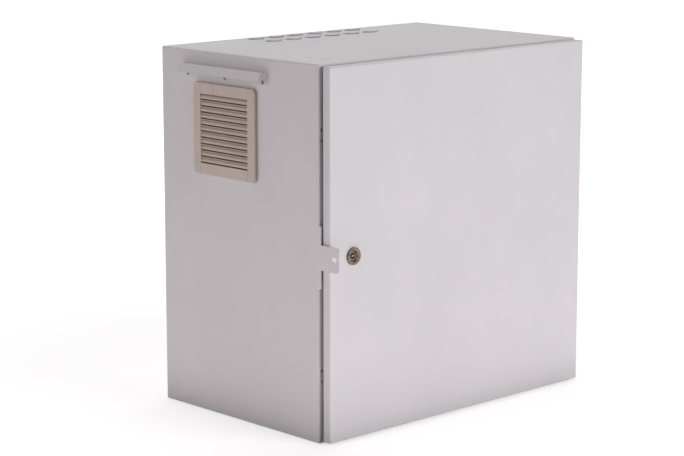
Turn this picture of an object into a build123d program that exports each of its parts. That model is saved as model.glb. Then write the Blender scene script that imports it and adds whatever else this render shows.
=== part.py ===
from build123d import *
from math import atan2, degrees
import os

# Roadside utility cabinet: a folded sheet-steel box with an overlay door.
# Millimetres. X runs to the right, Y into the cabinet, Z up.
# The origin is the middle of the base, half-way between door face and rear face.

# Driving dimensions of the box
CABINET_WIDTH = 600.0
CABINET_HEIGHT = 600.0
CABINET_DEPTH = 400.0
SHEET = 1.5
BEND_OUTER = 3.0
BEND_INNER = BEND_OUTER - SHEET

HALF_WIDTH = CABINET_WIDTH / 2
MID_HEIGHT = CABINET_HEIGHT / 2
DOOR_FACE_Y = -CABINET_DEPTH / 2
REAR_Y = CABINET_DEPTH / 2

# Door leaf: a shallow pan that covers the front and stands off the body
DOOR_PROUD = 20.5
DOOR_PAN_DEPTH = 14.0
DOOR_WIDTH = 593.0
DOOR_HEIGHT = 594.0
FRONT_Y = DOOR_FACE_Y + DOOR_PROUD
DOOR_SKIN_Y = DOOR_FACE_Y + SHEET
DOOR_HALF = DOOR_WIDTH / 2

# Front return and the rain gutter lip that the gasket closes on
RETURN_WIDTH = 25.0
LIP_REACH = 11.0
REAR_FLANGE = 20.0
WELD_GAP = 2.0
LIP_HALF_W = HALF_WIDTH - RETURN_WIDTH
LIP_HALF_H = MID_HEIGHT - RETURN_WIDTH
GASKET_WIDTH = 12.0
GASKET_GAP = 0.3

# Hinges: two pairs of fixing holes on each front return, so the door can hang either way
HINGE_FROM_END = 109.0
HINGE_HEIGHTS = (HINGE_FROM_END, CABINET_HEIGHT - HINGE_FROM_END)
HINGE_HOLE_PITCH = 17.5
HINGE_HOLE_RADIUS = 2.25
HINGE_HOLE_X = HALF_WIDTH - 6.5
PIN_X = 290.5
PIN_Y = FRONT_Y - 14.5
PIN_RADIUS = 2.0
PIN_PRESS_GAP = 0.02
PIN_RUNNING_GAP = 0.05
EYE_RADIUS = 3.8
EAR_INNER = 13.5
EAR_THICKNESS = 2.5
BRACKET_THICKNESS = 2.0
HINGE_NOTCH_HALF = 18.0

# Padlock hasp: a T-shaped plate let into the left front edge
HASP_THICKNESS = 3.0
HASP_ROOT_HEIGHT = 100.0
HASP_TAB_HEIGHT = 40.0
HASP_ROOT_REACH = 3.8
HASP_TAB_REACH = 45.5
HASP_ROOT_DEPTH = 3.0
HASP_CORNER = 6.0
HASP_HOLE_RADIUS = 5.25
HASP_HOLE_REACH = 34.3

# Quarter-turn cam lock
LOCK_X = -246.0
LOCK_Z = 298.0
LOCK_HEAD_RADIUS = 14.0
LOCK_HEAD_PROUD = 4.0
LOCK_BARREL_RADIUS = 10.0
LOCK_CORE_RADIUS = 7.0
LOCK_CORE_GAP = 0.06
CAM_LENGTH = 40.0
CAM_WIDTH = 18.0
CAM_THICKNESS = 3.0

# Air filter in the left wall
FILTER_Y = FRONT_Y + 217.5
FILTER_Z = 474.5
FILTER_SIZE = 150.0
FILTER_CORNER = 7.0
FILTER_CUTOUT = 125.0
FILTER_COLLAR = 123.6
FILTER_DEPTH = 24.0
MAT_THICKNESS = 15.0
GRID_BARS = 4
GRID_BAR = 2.0
GRILLE_WIDTH = 115.0
GRILLE_HEIGHT = 113.3
SLAT_COUNT = 11
SLAT_PITCH = GRILLE_HEIGHT / SLAT_COUNT
FILTER_SEAL = 1.0
FILTER_FLANGE = 2.0
COVER_THICKNESS = 3.2
COVER_EDGE = 1.0
SCORE_WIDTH = 0.5
SCORE_DEPTH = 0.3
SCORE_EXTRA_SHARE = 0.71

# Rain hood over the filter
HOOD_Y = FRONT_Y + 219.0
HOOD_LENGTH = 205.0
HOOD_SHEET = 1.2
HOOD_BOTTOM_Z = 557.5
HOOD_TOP_Z = 577.5
HOOD_TOP_REACH = 15.5
HOOD_EDGE_REACH = 18.7
HOOD_EDGE_Z = 564.4
HOOD_END_TRIM = 6.0
RIVET_PITCH = 91.5
RIVET_Z = 560.6
RIVET_RADIUS = 3.2
RIVET_CROWN = 1.5
RIVET_TAIL = 4.0
RIVET_HOLE_RADIUS = 1.65

# Vent gills pressed up from the roof
GILL_COLUMNS = 6
GILL_PITCH_X = 45.3
GILL_ROWS_Y = (FRONT_Y + 302.0, FRONT_Y + 347.0)
GILL_WIDTH = 38.5
GILL_DEPTH = 12.0
GILL_RISE = 2.8

# Inside
PLATE_WIDTH = 500.0
PLATE_HEIGHT = 520.0
PLATE_THICKNESS = 2.0
PLATE_Y = 170.0
PLATE_FOLD = 12.0
STUD_X = 225.0
STUD_RISE = 235.0
WALL_HOLE_SPACING = 530.0
WALL_HOLE_RADIUS = 4.5
ENTRY_WIDTH = 200.0
ENTRY_DEPTH = 90.0
ENTRY_Y = 105.0
GLAND_PLATE_MARGIN = 20.0
GLAND_PLATE_THICKNESS = 2.0
GLAND_GASKET = 1.5
STIFFENER_X = 200.0

os.makedirs("parts", exist_ok=True)


# Helpers: sketches drawn on the front, side and top of the cabinet
def front(y, sketch, depth):
    """Sketch in X and Z, starting at depth y and growing towards the door."""
    plane = Plane(origin=(0, y, 0), x_dir=(1, 0, 0), z_dir=(0, -1, 0))
    return extrude(plane * sketch, amount=depth, dir=(0, -1, 0))


def side(x, sketch, depth):
    """Sketch in -Y and Z on the left wall, growing out of the cabinet."""
    plane = Plane(origin=(x, 0, 0), x_dir=(0, -1, 0), z_dir=(-1, 0, 0))
    return extrude(plane * sketch, amount=depth, dir=(-1, 0, 0))


def top(z, sketch, depth):
    """Sketch in X and Y, growing upwards from height z."""
    return extrude(Plane.XY.offset(z) * sketch, amount=depth, dir=(0, 0, 1))


def window(half_w, half_h, radius):
    """Rounded rectangle centred on the front of the cabinet."""
    return Pos(0, MID_HEIGHT) * RectangleRounded(2 * half_w, 2 * half_h, radius)


def rim_edges(shape, y):
    """Edges that lie in the plane at depth y."""
    return shape.edges().filter_by_position(Axis.Y, y - 0.01, y + 0.01)


def hexagon(across_flats):
    """Hexagon sketch measured across its flats."""
    return RegularPolygon(across_flats / 2, 6, major_radius=False)


def save(name, shape):
    """Write one sub-part under its node's name."""
    solids = shape.solids() if hasattr(shape, "solids") else [s for part in shape for s in part.solids()]
    body = solids[0] if len(solids) == 1 else Compound(children=list(solids))
    body.label = name
    export_step(body, f"parts/{name}.step")


# Body shell: left wall, roof, right wall and floor folded as one sleeve
def gill_outline(y_front):
    """Half-moon outline of a gill, its arc facing the door."""
    half = GILL_WIDTH / 2
    arc = ThreePointArc((-half, GILL_DEPTH), (0, 0), (half, GILL_DEPTH))
    chord = Line((half, GILL_DEPTH), (-half, GILL_DEPTH))
    return Pos(0, y_front) * make_face([arc, chord])


def gill_scoop(x, y_front):
    """Half-moon flap of the roof sheet, tilted up towards the door."""
    outline = gill_outline(y_front)
    tilt = degrees(atan2(GILL_RISE, GILL_DEPTH))
    column = top(CABINET_HEIGHT - 10, Pos(x, 0) * outline, 30)
    hinge_line = y_front + GILL_DEPTH
    flap = Pos(x, hinge_line, CABINET_HEIGHT) * Rot(-tilt, 0, 0) * Box(
        GILL_WIDTH + 4, 2 * GILL_DEPTH + 8, SHEET, align=(Align.CENTER, Align.CENTER, Align.MAX)
    )
    return column & flap


def gill_places():
    """Middle of each gill's front arc, row by row."""
    first = -GILL_PITCH_X * (GILL_COLUMNS - 1) / 2
    return [(first + i * GILL_PITCH_X, y) for y in GILL_ROWS_Y for i in range(GILL_COLUMNS)]


def body_shell():
    depth = REAR_Y - FRONT_Y
    outer = front(REAR_Y, window(HALF_WIDTH, MID_HEIGHT, BEND_OUTER), depth)
    outer = fillet(rim_edges(outer, FRONT_Y), BEND_OUTER)
    outer = chamfer(rim_edges(outer, REAR_Y), 1.0)
    hollow = window(HALF_WIDTH - SHEET, MID_HEIGHT - SHEET, BEND_INNER)
    shell = outer - front(REAR_Y - SHEET, hollow, depth - 2 * SHEET)
    mouth_w = LIP_HALF_W - SHEET
    mouth_h = LIP_HALF_H - SHEET
    shell -= front(FRONT_Y + 10, window(mouth_w, mouth_h, BEND_INNER), 20)
    shell -= front(REAR_Y + 10, window(HALF_WIDTH - REAR_FLANGE, MID_HEIGHT - REAR_FLANGE, 2), 20)
    lip = window(LIP_HALF_W, LIP_HALF_H, BEND_OUTER) - window(mouth_w, mouth_h, BEND_INNER)
    shell += front(FRONT_Y + SHEET, lip, LIP_REACH + SHEET)

    for x, y in gill_places():
        shell -= top(CABINET_HEIGHT - 5, Pos(x, 0) * gill_outline(y), 10)
        shell += gill_scoop(x, y)

    cutout = Pos(-FILTER_Y, FILTER_Z) * RectangleRounded(FILTER_CUTOUT, FILTER_CUTOUT, 2)
    shell -= side(-HALF_WIDTH + 5, cutout, 10)
    for y in rivet_places():
        shell -= side(-HALF_WIDTH + 5, Pos(-y, RIVET_Z) * Circle(RIVET_HOLE_RADIUS), 10)

    notch_depth = HASP_ROOT_DEPTH + 5
    notch = Pos(-FRONT_Y - HASP_ROOT_DEPTH + notch_depth / 2, MID_HEIGHT)
    shell -= side(-HALF_WIDTH + HASP_THICKNESS, notch * Rectangle(notch_depth, HASP_ROOT_HEIGHT), 5)

    entry = Pos(0, ENTRY_Y) * RectangleRounded(ENTRY_WIDTH, ENTRY_DEPTH, 3)
    shell -= top(-5, entry, 10)

    for sign in (-1, 1):
        for height in HINGE_HEIGHTS:
            for step in (-0.5, 0.5):
                hole = Pos(sign * HINGE_HOLE_X, height + step * HINGE_HOLE_PITCH)
                shell -= front(FRONT_Y + 3, hole * Circle(HINGE_HOLE_RADIUS), 6)
    return shell


# Rear panel, welded inside the rear flange, with four wall-fixing holes
def rear_panel():
    half_w = HALF_WIDTH - SHEET - WELD_GAP
    half_h = MID_HEIGHT - SHEET - WELD_GAP
    panel = front(REAR_Y - SHEET, Pos(0, MID_HEIGHT) * Rectangle(2 * half_w, 2 * half_h), SHEET)
    half = WALL_HOLE_SPACING / 2
    for x in (-half, half):
        for z in (MID_HEIGHT - half, MID_HEIGHT + half):
            panel -= front(REAR_Y + 5, Pos(x, z) * Circle(WALL_HOLE_RADIUS), 20)
    return panel


# Hasp plate: root in the notch of the wall, tab with the padlock hole
def hasp_plate():
    back = -(FRONT_Y + HASP_ROOT_DEPTH)
    shoulder = -FRONT_Y + HASP_ROOT_REACH
    nose = -FRONT_Y + HASP_TAB_REACH
    root = Pos((back + shoulder) / 2, MID_HEIGHT) * Rectangle(shoulder - back, HASP_ROOT_HEIGHT)
    tab = Pos((back + nose) / 2, MID_HEIGHT) * Rectangle(nose - back, HASP_TAB_HEIGHT)
    outline = root + tab
    plate = side(-HALF_WIDTH + HASP_THICKNESS, outline, HASP_THICKNESS)
    nose_y = -nose
    corners = plate.edges().filter_by(Axis.X).filter_by_position(Axis.Y, nose_y - 0.1, nose_y + 0.1)
    plate = fillet(corners, HASP_CORNER)
    hole = Pos(-FRONT_Y + HASP_HOLE_REACH, MID_HEIGHT) * Circle(HASP_HOLE_RADIUS)
    plate -= side(-HALF_WIDTH + HASP_THICKNESS + 1, hole, HASP_THICKNESS + 2)
    shoulder_y = -shoulder
    ends = plate.edges().filter_by(Axis.X).filter_by_position(Axis.Y, shoulder_y - 0.1, shoulder_y + 0.1)
    outer_ends = [e for e in ends if abs(e.center().Z - MID_HEIGHT) > HASP_TAB_HEIGHT]
    return fillet(outer_ends, 1.5)


# Rain hood: wall leg, flat top and drooping outer leg from one strip
def rain_hood():
    wall_x = -HALF_WIDTH
    leg_x = wall_x - HOOD_SHEET / 2
    centre_line = FilletPolyline(
        (leg_x, HOOD_BOTTOM_Z),
        (leg_x, HOOD_TOP_Z - HOOD_SHEET / 2),
        (wall_x - HOOD_TOP_REACH, HOOD_TOP_Z - HOOD_SHEET / 2 - 0.6),
        (wall_x - HOOD_EDGE_REACH + HOOD_SHEET / 2, HOOD_EDGE_Z),
        radius=2.6,
    )
    section = trace(centre_line, line_width=HOOD_SHEET)
    plane = Plane(origin=(0, HOOD_Y + HOOD_LENGTH / 2, 0), x_dir=(1, 0, 0), z_dir=(0, -1, 0))
    hood = extrude(plane * section, amount=HOOD_LENGTH)
    half = HOOD_LENGTH / 2
    start = HOOD_TOP_Z - 3
    for sign in (-1, 1):
        edge = sign * half - HOOD_Y
        trim = Polygon(
            (edge, start),
            (edge - sign * HOOD_END_TRIM, HOOD_EDGE_Z - 2),
            (edge + sign * 5, HOOD_EDGE_Z - 2),
            (edge + sign * 5, start),
            align=None,
        )
        hood -= side(wall_x - 3.5, trim, 30)
    for y in rivet_places():
        hole = Pos(-y, RIVET_Z) * Circle(RIVET_HOLE_RADIUS)
        hood -= side(wall_x + 5, hole, 10)
    return hood


def rivet_places():
    return [HOOD_Y + i * RIVET_PITCH for i in (-1, 0, 1)]


def rivet(y, z):
    """Blind rivet, its head on the hood and its tail inside the wall."""
    place = Pos(-y, z)
    seat = -HALF_WIDTH - HOOD_SHEET
    crown = seat - RIVET_CROWN
    inside = -HALF_WIDTH + SHEET
    head = side(seat, place * Circle(RIVET_RADIUS), RIVET_CROWN)
    rim = head.edges().filter_by_position(Axis.X, crown - 0.01, crown + 0.01)
    length = RIVET_TAIL + SHEET + HOOD_SHEET
    shank = side(inside + RIVET_TAIL, place * Circle(RIVET_HOLE_RADIUS - 0.05), length)
    return chamfer(rim, RIVET_CROWN - 0.4) + shank


# Filter unit: foam seal, housing with collar, fibre mat and louvred cover
def filter_square(size, corner):
    return Pos(-FILTER_Y, FILTER_Z) * RectangleRounded(size, size, corner)


def filter_seal():
    hole = Pos(-FILTER_Y, FILTER_Z) * Rectangle(FILTER_CUTOUT, FILTER_CUTOUT)
    return side(-HALF_WIDTH, filter_square(FILTER_SIZE - 4, 5) - hole, FILTER_SEAL)


def filter_housing():
    flange_x = -HALF_WIDTH - FILTER_SEAL
    inner = FILTER_COLLAR - 4
    mouth = Pos(-FILTER_Y, FILTER_Z) * Rectangle(inner, inner)
    flange = side(flange_x, filter_square(FILTER_SIZE, FILTER_CORNER) - mouth, FILTER_FLANGE)
    collar = filter_square(FILTER_COLLAR, 1.5) - mouth
    housing = flange + side(-HALF_WIDTH + FILTER_DEPTH, collar, FILTER_DEPTH + FILTER_SEAL)
    # Guard grid inside the collar, which backs the mat
    grid_x = -HALF_WIDTH + MAT_THICKNESS + 0.2 + GRID_BAR
    for i in range(GRID_BARS):
        offset = (i - (GRID_BARS - 1) / 2) * inner / GRID_BARS
        upright = Pos(-FILTER_Y + offset, FILTER_Z) * Rectangle(GRID_BAR, inner + 1)
        level = Pos(-FILTER_Y, FILTER_Z + offset) * Rectangle(inner + 1, GRID_BAR)
        housing += side(grid_x, upright, GRID_BAR)
        housing += side(grid_x, level, GRID_BAR)
    # Four snap wedges hold the housing behind the wall sheet
    half = FILTER_COLLAR / 2
    catch_x = -HALF_WIDTH + SHEET + 0.1
    for sign in (-1, 1):
        wedge = Polygon((catch_x, half), (catch_x, half + 2.2), (catch_x + 12, half), align=None)
        for across in (-38, 38):
            lug = extrude(Plane.XZ * wedge, amount=8, both=True)
            turned = lug if sign > 0 else mirror(lug, about=Plane.XY)
            housing += Pos(0, FILTER_Y + across, FILTER_Z) * turned
    # Slots that take the snap lugs of the cover
    for y, z in snap_places():
        slot = Pos(-FILTER_Y + y, FILTER_Z + z) * Rectangle(8.8, 2.8)
        housing -= side(flange_x + 1, slot, FILTER_FLANGE + 2)
    return housing


def filter_mat():
    size = FILTER_COLLAR - 4 - 1.0
    slab = Pos(-FILTER_Y, FILTER_Z) * Rectangle(size, size)
    return side(-HALF_WIDTH + MAT_THICKNESS, slab, MAT_THICKNESS)


def snap_places():
    """Middle of each snap lug, near the corners of the cover."""
    reach = FILTER_SIZE / 2 - 6.5
    return [(sy * 52.0, sz * reach) for sy in (-1, 1) for sz in (-1, 1)]


def slat_blade(z_top):
    """One rain-shedding blade: front bar, and a convex hood that droops outwards below it."""
    face_x = -HALF_WIDTH - FILTER_SEAL - FILTER_FLANGE - COVER_THICKNESS
    half = GRILLE_WIDTH / 2
    bar = Pos(-FILTER_Y, z_top - 0.9) * Rectangle(GRILLE_WIDTH + 1, 1.8)
    slat = side(face_x + 2.0, bar, 2.0)
    top_z = z_top - 1.4
    low_z = z_top - SLAT_PITCH + 1.5
    centre_line = ThreePointArc(
        (face_x + 4.6, top_z), (face_x + 1.55, (top_z + low_z) / 2 + 1.2), (face_x + 0.7, low_z)
    )
    section = trace(centre_line, line_width=1.2)
    web = Pos(face_x + 1.2, top_z + 0.4) * Rectangle(4.6, 1.0, align=(Align.MIN, Align.CENTER))
    plane = Plane(origin=(0, FILTER_Y + half + 0.5, 0), x_dir=(1, 0, 0), z_dir=(0, -1, 0))
    return slat + extrude(plane * (section + web), amount=GRILLE_WIDTH + 1, dir=(0, -1, 0))


def filter_cover():
    base_x = -HALF_WIDTH - FILTER_SEAL - FILTER_FLANGE
    plate = side(base_x, filter_square(FILTER_SIZE, FILTER_CORNER), COVER_THICKNESS)
    face_x = base_x - COVER_THICKNESS
    rim = plate.edges().filter_by_position(Axis.X, face_x - 0.01, face_x + 0.01)
    plate = chamfer(rim, COVER_EDGE)
    opening = Pos(-FILTER_Y, FILTER_Z) * Rectangle(GRILLE_WIDTH, GRILLE_HEIGHT)
    plate -= side(base_x + 1, opening, COVER_THICKNESS + 2)
    for i in range(SLAT_COUNT):
        plate += slat_blade(FILTER_Z + GRILLE_HEIGHT / 2 - i * SLAT_PITCH + (0.0 if i else 0.9))
    plate -= side(face_x + SCORE_DEPTH, score_lines(), SCORE_DEPTH + 1)
    for y, z in snap_places():
        lug = Pos(-FILTER_Y + y, FILTER_Z + z) * Rectangle(8, 2)
        plate += side(base_x + FILTER_FLANGE - 0.3, lug, FILTER_FLANGE)
    return plate


def score_lines():
    """Fine lines that carry the opening's edges on across the frame, and one more above it."""
    rim = (FILTER_SIZE - GRILLE_WIDTH) / 2 - 0.6
    reach = (FILTER_SIZE + GRILLE_WIDTH) / 4 + 0.6
    extra = (0.5 - SCORE_EXTRA_SHARE) * GRILLE_WIDTH
    lines = [Pos(extra, reach) * Rectangle(SCORE_WIDTH, rim)]
    for sign in (-1, 1):
        for end in (-1, 1):
            lines.append(Pos(sign * GRILLE_WIDTH / 2, end * reach) * Rectangle(SCORE_WIDTH, rim))
            lines.append(Pos(end * reach, sign * GRILLE_HEIGHT / 2) * Rectangle(rim, SCORE_WIDTH))
    return Pos(-FILTER_Y, FILTER_Z) * (Sketch() + lines)


# Hinges: bracket with two ears on the body, eye block in the door, pin through both
def hinge_bracket(height):
    plate_x = (PIN_X - 11.5 + HALF_WIDTH - 2) / 2
    plate_w = HALF_WIDTH - 2 - (PIN_X - 11.5)
    half = EAR_INNER + EAR_THICKNESS
    base = front(FRONT_Y, Pos(plate_x, height) * Rectangle(plate_w, 2 * half), BRACKET_THICKNESS)
    arm = Polygon(
        (PIN_X - 11.5, FRONT_Y - 1),
        (PIN_X, FRONT_Y - 1),
        (PIN_X, PIN_Y),
        (PIN_X - 2.8, PIN_Y - 2.8),
        (PIN_X - 11.5, FRONT_Y - 5),
        align=None,
    )
    ear = arm + Pos(PIN_X, PIN_Y) * Circle(EYE_RADIUS + 0.2)
    ear -= Pos(PIN_X, PIN_Y) * Circle(PIN_RADIUS + PIN_PRESS_GAP)
    bracket = base
    for z in (height - half, height + EAR_INNER):
        bracket += top(z, ear, EAR_THICKNESS)
    for step in (-0.5, 0.5):
        hole = Pos(HINGE_HOLE_X, height + step * HINGE_HOLE_PITCH)
        bracket -= front(FRONT_Y + 1, hole * Circle(HINGE_HOLE_RADIUS), 6)
    return bracket


def hinge_eye(height):
    half = EAR_INNER - 0.3
    skin = DOOR_SKIN_Y
    flange_x = DOOR_HALF - SHEET
    leaf = Polygon((283, skin), (flange_x, skin), (flange_x, skin + 2.5), (283, skin + 2.5), align=None)
    corner = Polygon(
        (PIN_X - 2, skin), (flange_x, skin), (flange_x, PIN_Y), (PIN_X - 2, PIN_Y), align=None
    )
    outline = leaf + corner + Pos(PIN_X, PIN_Y) * Circle(EYE_RADIUS)
    outline -= Pos(PIN_X, PIN_Y) * Circle(PIN_RADIUS + PIN_RUNNING_GAP)
    return top(height - half, outline, 2 * half)


def hinge_pin(height):
    reach = EAR_INNER + EAR_THICKNESS
    shank = top(height - reach - 1.5, Pos(PIN_X, PIN_Y) * Circle(PIN_RADIUS), 2 * reach + 1.5)
    head = top(height + reach, Pos(PIN_X, PIN_Y) * Circle(3.2), 1.2)
    return shank + head


def hinge_fixings():
    half = HINGE_HOLE_PITCH / 2
    return [Pos(HINGE_HOLE_X, height + step) for height in HINGE_HEIGHTS for step in (-half, half)]


def hinge_screw(place):
    """Hexagon-head thread-forming screw through the bracket into the return."""
    head = front(FRONT_Y - BRACKET_THICKNESS, place * Rot(0, 0, 30) * hexagon(6.5), 1.8)
    return head + front(FRONT_Y + SHEET + 4.5, place * Circle(2.0), 6.2 + BRACKET_THICKNESS)


# Door leaf: one pan with folded edges
def door_leaf():
    back = DOOR_FACE_Y + DOOR_PAN_DEPTH
    outer = front(back, window(DOOR_HALF, DOOR_HEIGHT / 2, BEND_OUTER), DOOR_PAN_DEPTH)
    rim = outer.edges().filter_by_position(Axis.Y, DOOR_FACE_Y - 0.01, DOOR_FACE_Y + 0.01)
    outer = fillet(rim, 2.5)
    inner = front(
        back + 1,
        window(DOOR_HALF - SHEET, DOOR_HEIGHT / 2 - SHEET, BEND_INNER),
        DOOR_PAN_DEPTH - SHEET + 1,
    )
    leaf = outer - inner
    for height in HINGE_HEIGHTS:
        notch = Pos(DOOR_HALF, height) * Rectangle(8, 2 * HINGE_NOTCH_HALF)
        leaf -= front(back + 1, notch, DOOR_PAN_DEPTH - SHEET + 0.5)
    leaf -= front(DOOR_SKIN_Y + 5, Pos(LOCK_X, LOCK_Z) * Circle(LOCK_BARREL_RADIUS + 0.1), 10)
    return leaf


def backing_plate():
    left = -DOOR_HALF + SHEET
    right = LOCK_X + 24.7
    outline = Pos((left + right) / 2, LOCK_Z) * Rectangle(right - left, 40)
    plate = front(DOOR_SKIN_Y + 2, outline, 2)
    return plate - front(DOOR_SKIN_Y + 5, Pos(LOCK_X, LOCK_Z) * Circle(LOCK_BARREL_RADIUS + 0.1), 10)


def door_gasket(plate):
    centre_w = LIP_HALF_W - SHEET / 2
    centre_h = LIP_HALF_H - SHEET / 2
    half = GASKET_WIDTH / 2
    depth = FRONT_Y - LIP_REACH - GASKET_GAP - DOOR_SKIN_Y
    ring = window(centre_w + half, centre_h + half, 8) - window(centre_w - half, centre_h - half, 3)
    strip = front(DOOR_SKIN_Y + depth, ring, depth)
    return chamfer(rim_edges(strip, DOOR_SKIN_Y + depth), 1.5) - plate


def door_stiffener(x):
    """Hat section, its flanges spot-welded to the inside of the door skin."""
    depth = 12.0
    path = Polyline(
        (x - 24, DOOR_SKIN_Y + 0.75),
        (x - 14, DOOR_SKIN_Y + 0.75),
        (x - 10, DOOR_SKIN_Y + depth),
        (x + 10, DOOR_SKIN_Y + depth),
        (x + 14, DOOR_SKIN_Y + 0.75),
        (x + 24, DOOR_SKIN_Y + 0.75),
    )
    return top(50, trace(path, line_width=SHEET), CABINET_HEIGHT - 100)


# Lock: turned head and barrel, nut, core with a double bit, cam and screw
def lock_housing():
    face_y = DOOR_FACE_Y - LOCK_HEAD_PROUD
    back_y = FRONT_Y - 1.5
    depth = back_y - face_y
    bore = LOCK_CORE_RADIUS + LOCK_CORE_GAP
    profile = make_face(
        Polyline(
            (bore, depth), (bore, 4.5), (8.6, 1.9), (11.6, 0), (12.9, 0), (LOCK_HEAD_RADIUS, 1.1),
            (LOCK_HEAD_RADIUS, LOCK_HEAD_PROUD), (LOCK_BARREL_RADIUS, LOCK_HEAD_PROUD),
            (LOCK_BARREL_RADIUS, depth), close=True,
        )
    )
    axis_plane = Plane(origin=(LOCK_X, face_y, LOCK_Z), x_dir=(1, 0, 0), z_dir=(0, 0, 1))
    axis = Axis((LOCK_X, face_y, LOCK_Z), (0, 1, 0))
    return revolve(axis_plane * profile, axis)


def lock_nut():
    near = DOOR_SKIN_Y + 2
    place = Pos(LOCK_X, LOCK_Z)
    return front(near + 5, place * (hexagon(27) - Circle(LOCK_BARREL_RADIUS + 0.02)), 5)


def lock_core():
    """Core with the key pocket: a round well round a double-bit stem."""
    face_y = DOOR_FACE_Y - LOCK_HEAD_PROUD + 5.0
    flange_y = FRONT_Y - 1.5 + 0.3
    square_y = FRONT_Y + SHEET + 0.3 + CAM_THICKNESS
    place = Pos(LOCK_X, LOCK_Z)
    core = front(flange_y, place * Circle(LOCK_CORE_RADIUS), flange_y - face_y)
    well = place * (Circle(5.0) - Circle(2.1) - Rectangle(7.4, 1.8))
    core -= front(face_y + 8, well, 9)
    core += front(square_y, place * Rectangle(7, 7), square_y - flange_y)
    bore = front(square_y + 1, place * Circle(2.5), 9)
    return core - bore


def lock_cam():
    near = FRONT_Y + SHEET + 0.3
    drop = CAM_LENGTH - CAM_WIDTH / 2
    blade = Pos(LOCK_X, LOCK_Z - drop / 2) * Rectangle(CAM_WIDTH, drop)
    outline = Pos(LOCK_X, LOCK_Z) * Circle(CAM_WIDTH / 2 + 1) + blade
    outline += Pos(LOCK_X, LOCK_Z - drop) * Circle(CAM_WIDTH / 2)
    outline -= Pos(LOCK_X, LOCK_Z) * Rectangle(7.04, 7.04)
    return front(near + CAM_THICKNESS, outline, CAM_THICKNESS)


def cam_screw():
    near = FRONT_Y + SHEET + 0.3 + CAM_THICKNESS
    place = Pos(LOCK_X, LOCK_Z)
    head = front(near + 4.0, place * hexagon(10), 4.0)
    return head + front(near + 0.1, place * Circle(2.48), 7)


# Equipment plate on four studs of the rear panel
def stud_places():
    return [(x, MID_HEIGHT + s * STUD_RISE) for x in (-STUD_X, STUD_X) for s in (-1, 1)]


def mounting_plate():
    flat = Pos(0, MID_HEIGHT) * Rectangle(PLATE_WIDTH, PLATE_HEIGHT)
    plate = front(PLATE_Y + PLATE_THICKNESS, flat, PLATE_THICKNESS)
    for sign in (-1, 1):
        fold_x = sign * (PLATE_WIDTH - PLATE_THICKNESS) / 2
        fold = Pos(fold_x, MID_HEIGHT) * Rectangle(PLATE_THICKNESS, PLATE_HEIGHT - 60)
        plate += front(PLATE_Y + PLATE_FOLD, fold, PLATE_FOLD)
    for x, z in stud_places():
        plate -= front(PLATE_Y + 5, Pos(x, z) * SlotOverall(16, 9), 10)
    return plate


def plate_studs():
    base = REAR_Y - 2 * SHEET
    return [front(base, Pos(x, z) * Circle(4), base - PLATE_Y + 14) for x, z in stud_places()]


def plate_spacers():
    base = REAR_Y - 2 * SHEET
    ring = hexagon(13) - Circle(4.1)
    return [front(base, Pos(x, z) * ring, base - PLATE_Y - PLATE_THICKNESS) for x, z in stud_places()]


def plate_nut(x, z):
    return front(PLATE_Y, Pos(x, z) * (hexagon(13) - Circle(4.05)), 6.5)


# Cable entry in the floor: a blank plate on a foam gasket, held by studs and nuts
def gland_outline():
    return RectangleRounded(ENTRY_WIDTH + 2 * GLAND_PLATE_MARGIN, ENTRY_DEPTH + 2 * GLAND_PLATE_MARGIN, 4)


def gland_stud_places():
    x = ENTRY_WIDTH / 2 + GLAND_PLATE_MARGIN / 2
    y = ENTRY_DEPTH / 2 + GLAND_PLATE_MARGIN / 2
    return [(sx * x, ENTRY_Y + sy * y) for sx in (-1, 1) for sy in (-1, 1)]


def gland_gasket():
    """Foam strip round the cut-out, just inside the studs."""
    ring = Rectangle(ENTRY_WIDTH + 12, ENTRY_DEPTH + 12) - Rectangle(ENTRY_WIDTH, ENTRY_DEPTH)
    return top(SHEET, Pos(0, ENTRY_Y) * ring, GLAND_GASKET)


def gland_plate():
    seat = SHEET + GLAND_GASKET
    plate = top(seat, Pos(0, ENTRY_Y) * gland_outline(), GLAND_PLATE_THICKNESS)
    for x, y in gland_stud_places():
        plate -= top(0, Pos(x, y) * Circle(2.7), 10)
    return plate


def gland_studs():
    return [top(SHEET, Pos(x, y) * Circle(2.5), 12) for x, y in gland_stud_places()]


def gland_nuts():
    seat = SHEET + GLAND_GASKET + GLAND_PLATE_THICKNESS
    return [top(seat, Pos(x, y) * (hexagon(8) - Circle(2.54)), 4.5) for x, y in gland_stud_places()]


# Earth studs: one on the floor, one on the door
EARTH_PLACE = (-230.0, 150.0)
DOOR_EARTH_PLACE = (-230.0, 70.0)


def earth_stud():
    return top(SHEET, Pos(*EARTH_PLACE) * Circle(4), 22)


def earth_nut(seat):
    return top(seat, Pos(*EARTH_PLACE) * (hexagon(13) - Circle(4.05)), 5)


def door_earth_stud():
    return front(DOOR_SKIN_Y + 14, Pos(*DOOR_EARTH_PLACE) * Circle(3), 14)


def door_earth_nut():
    return front(DOOR_SKIN_Y + 5, Pos(*DOOR_EARTH_PLACE) * (hexagon(10) - Circle(3.03)), 5)


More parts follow.
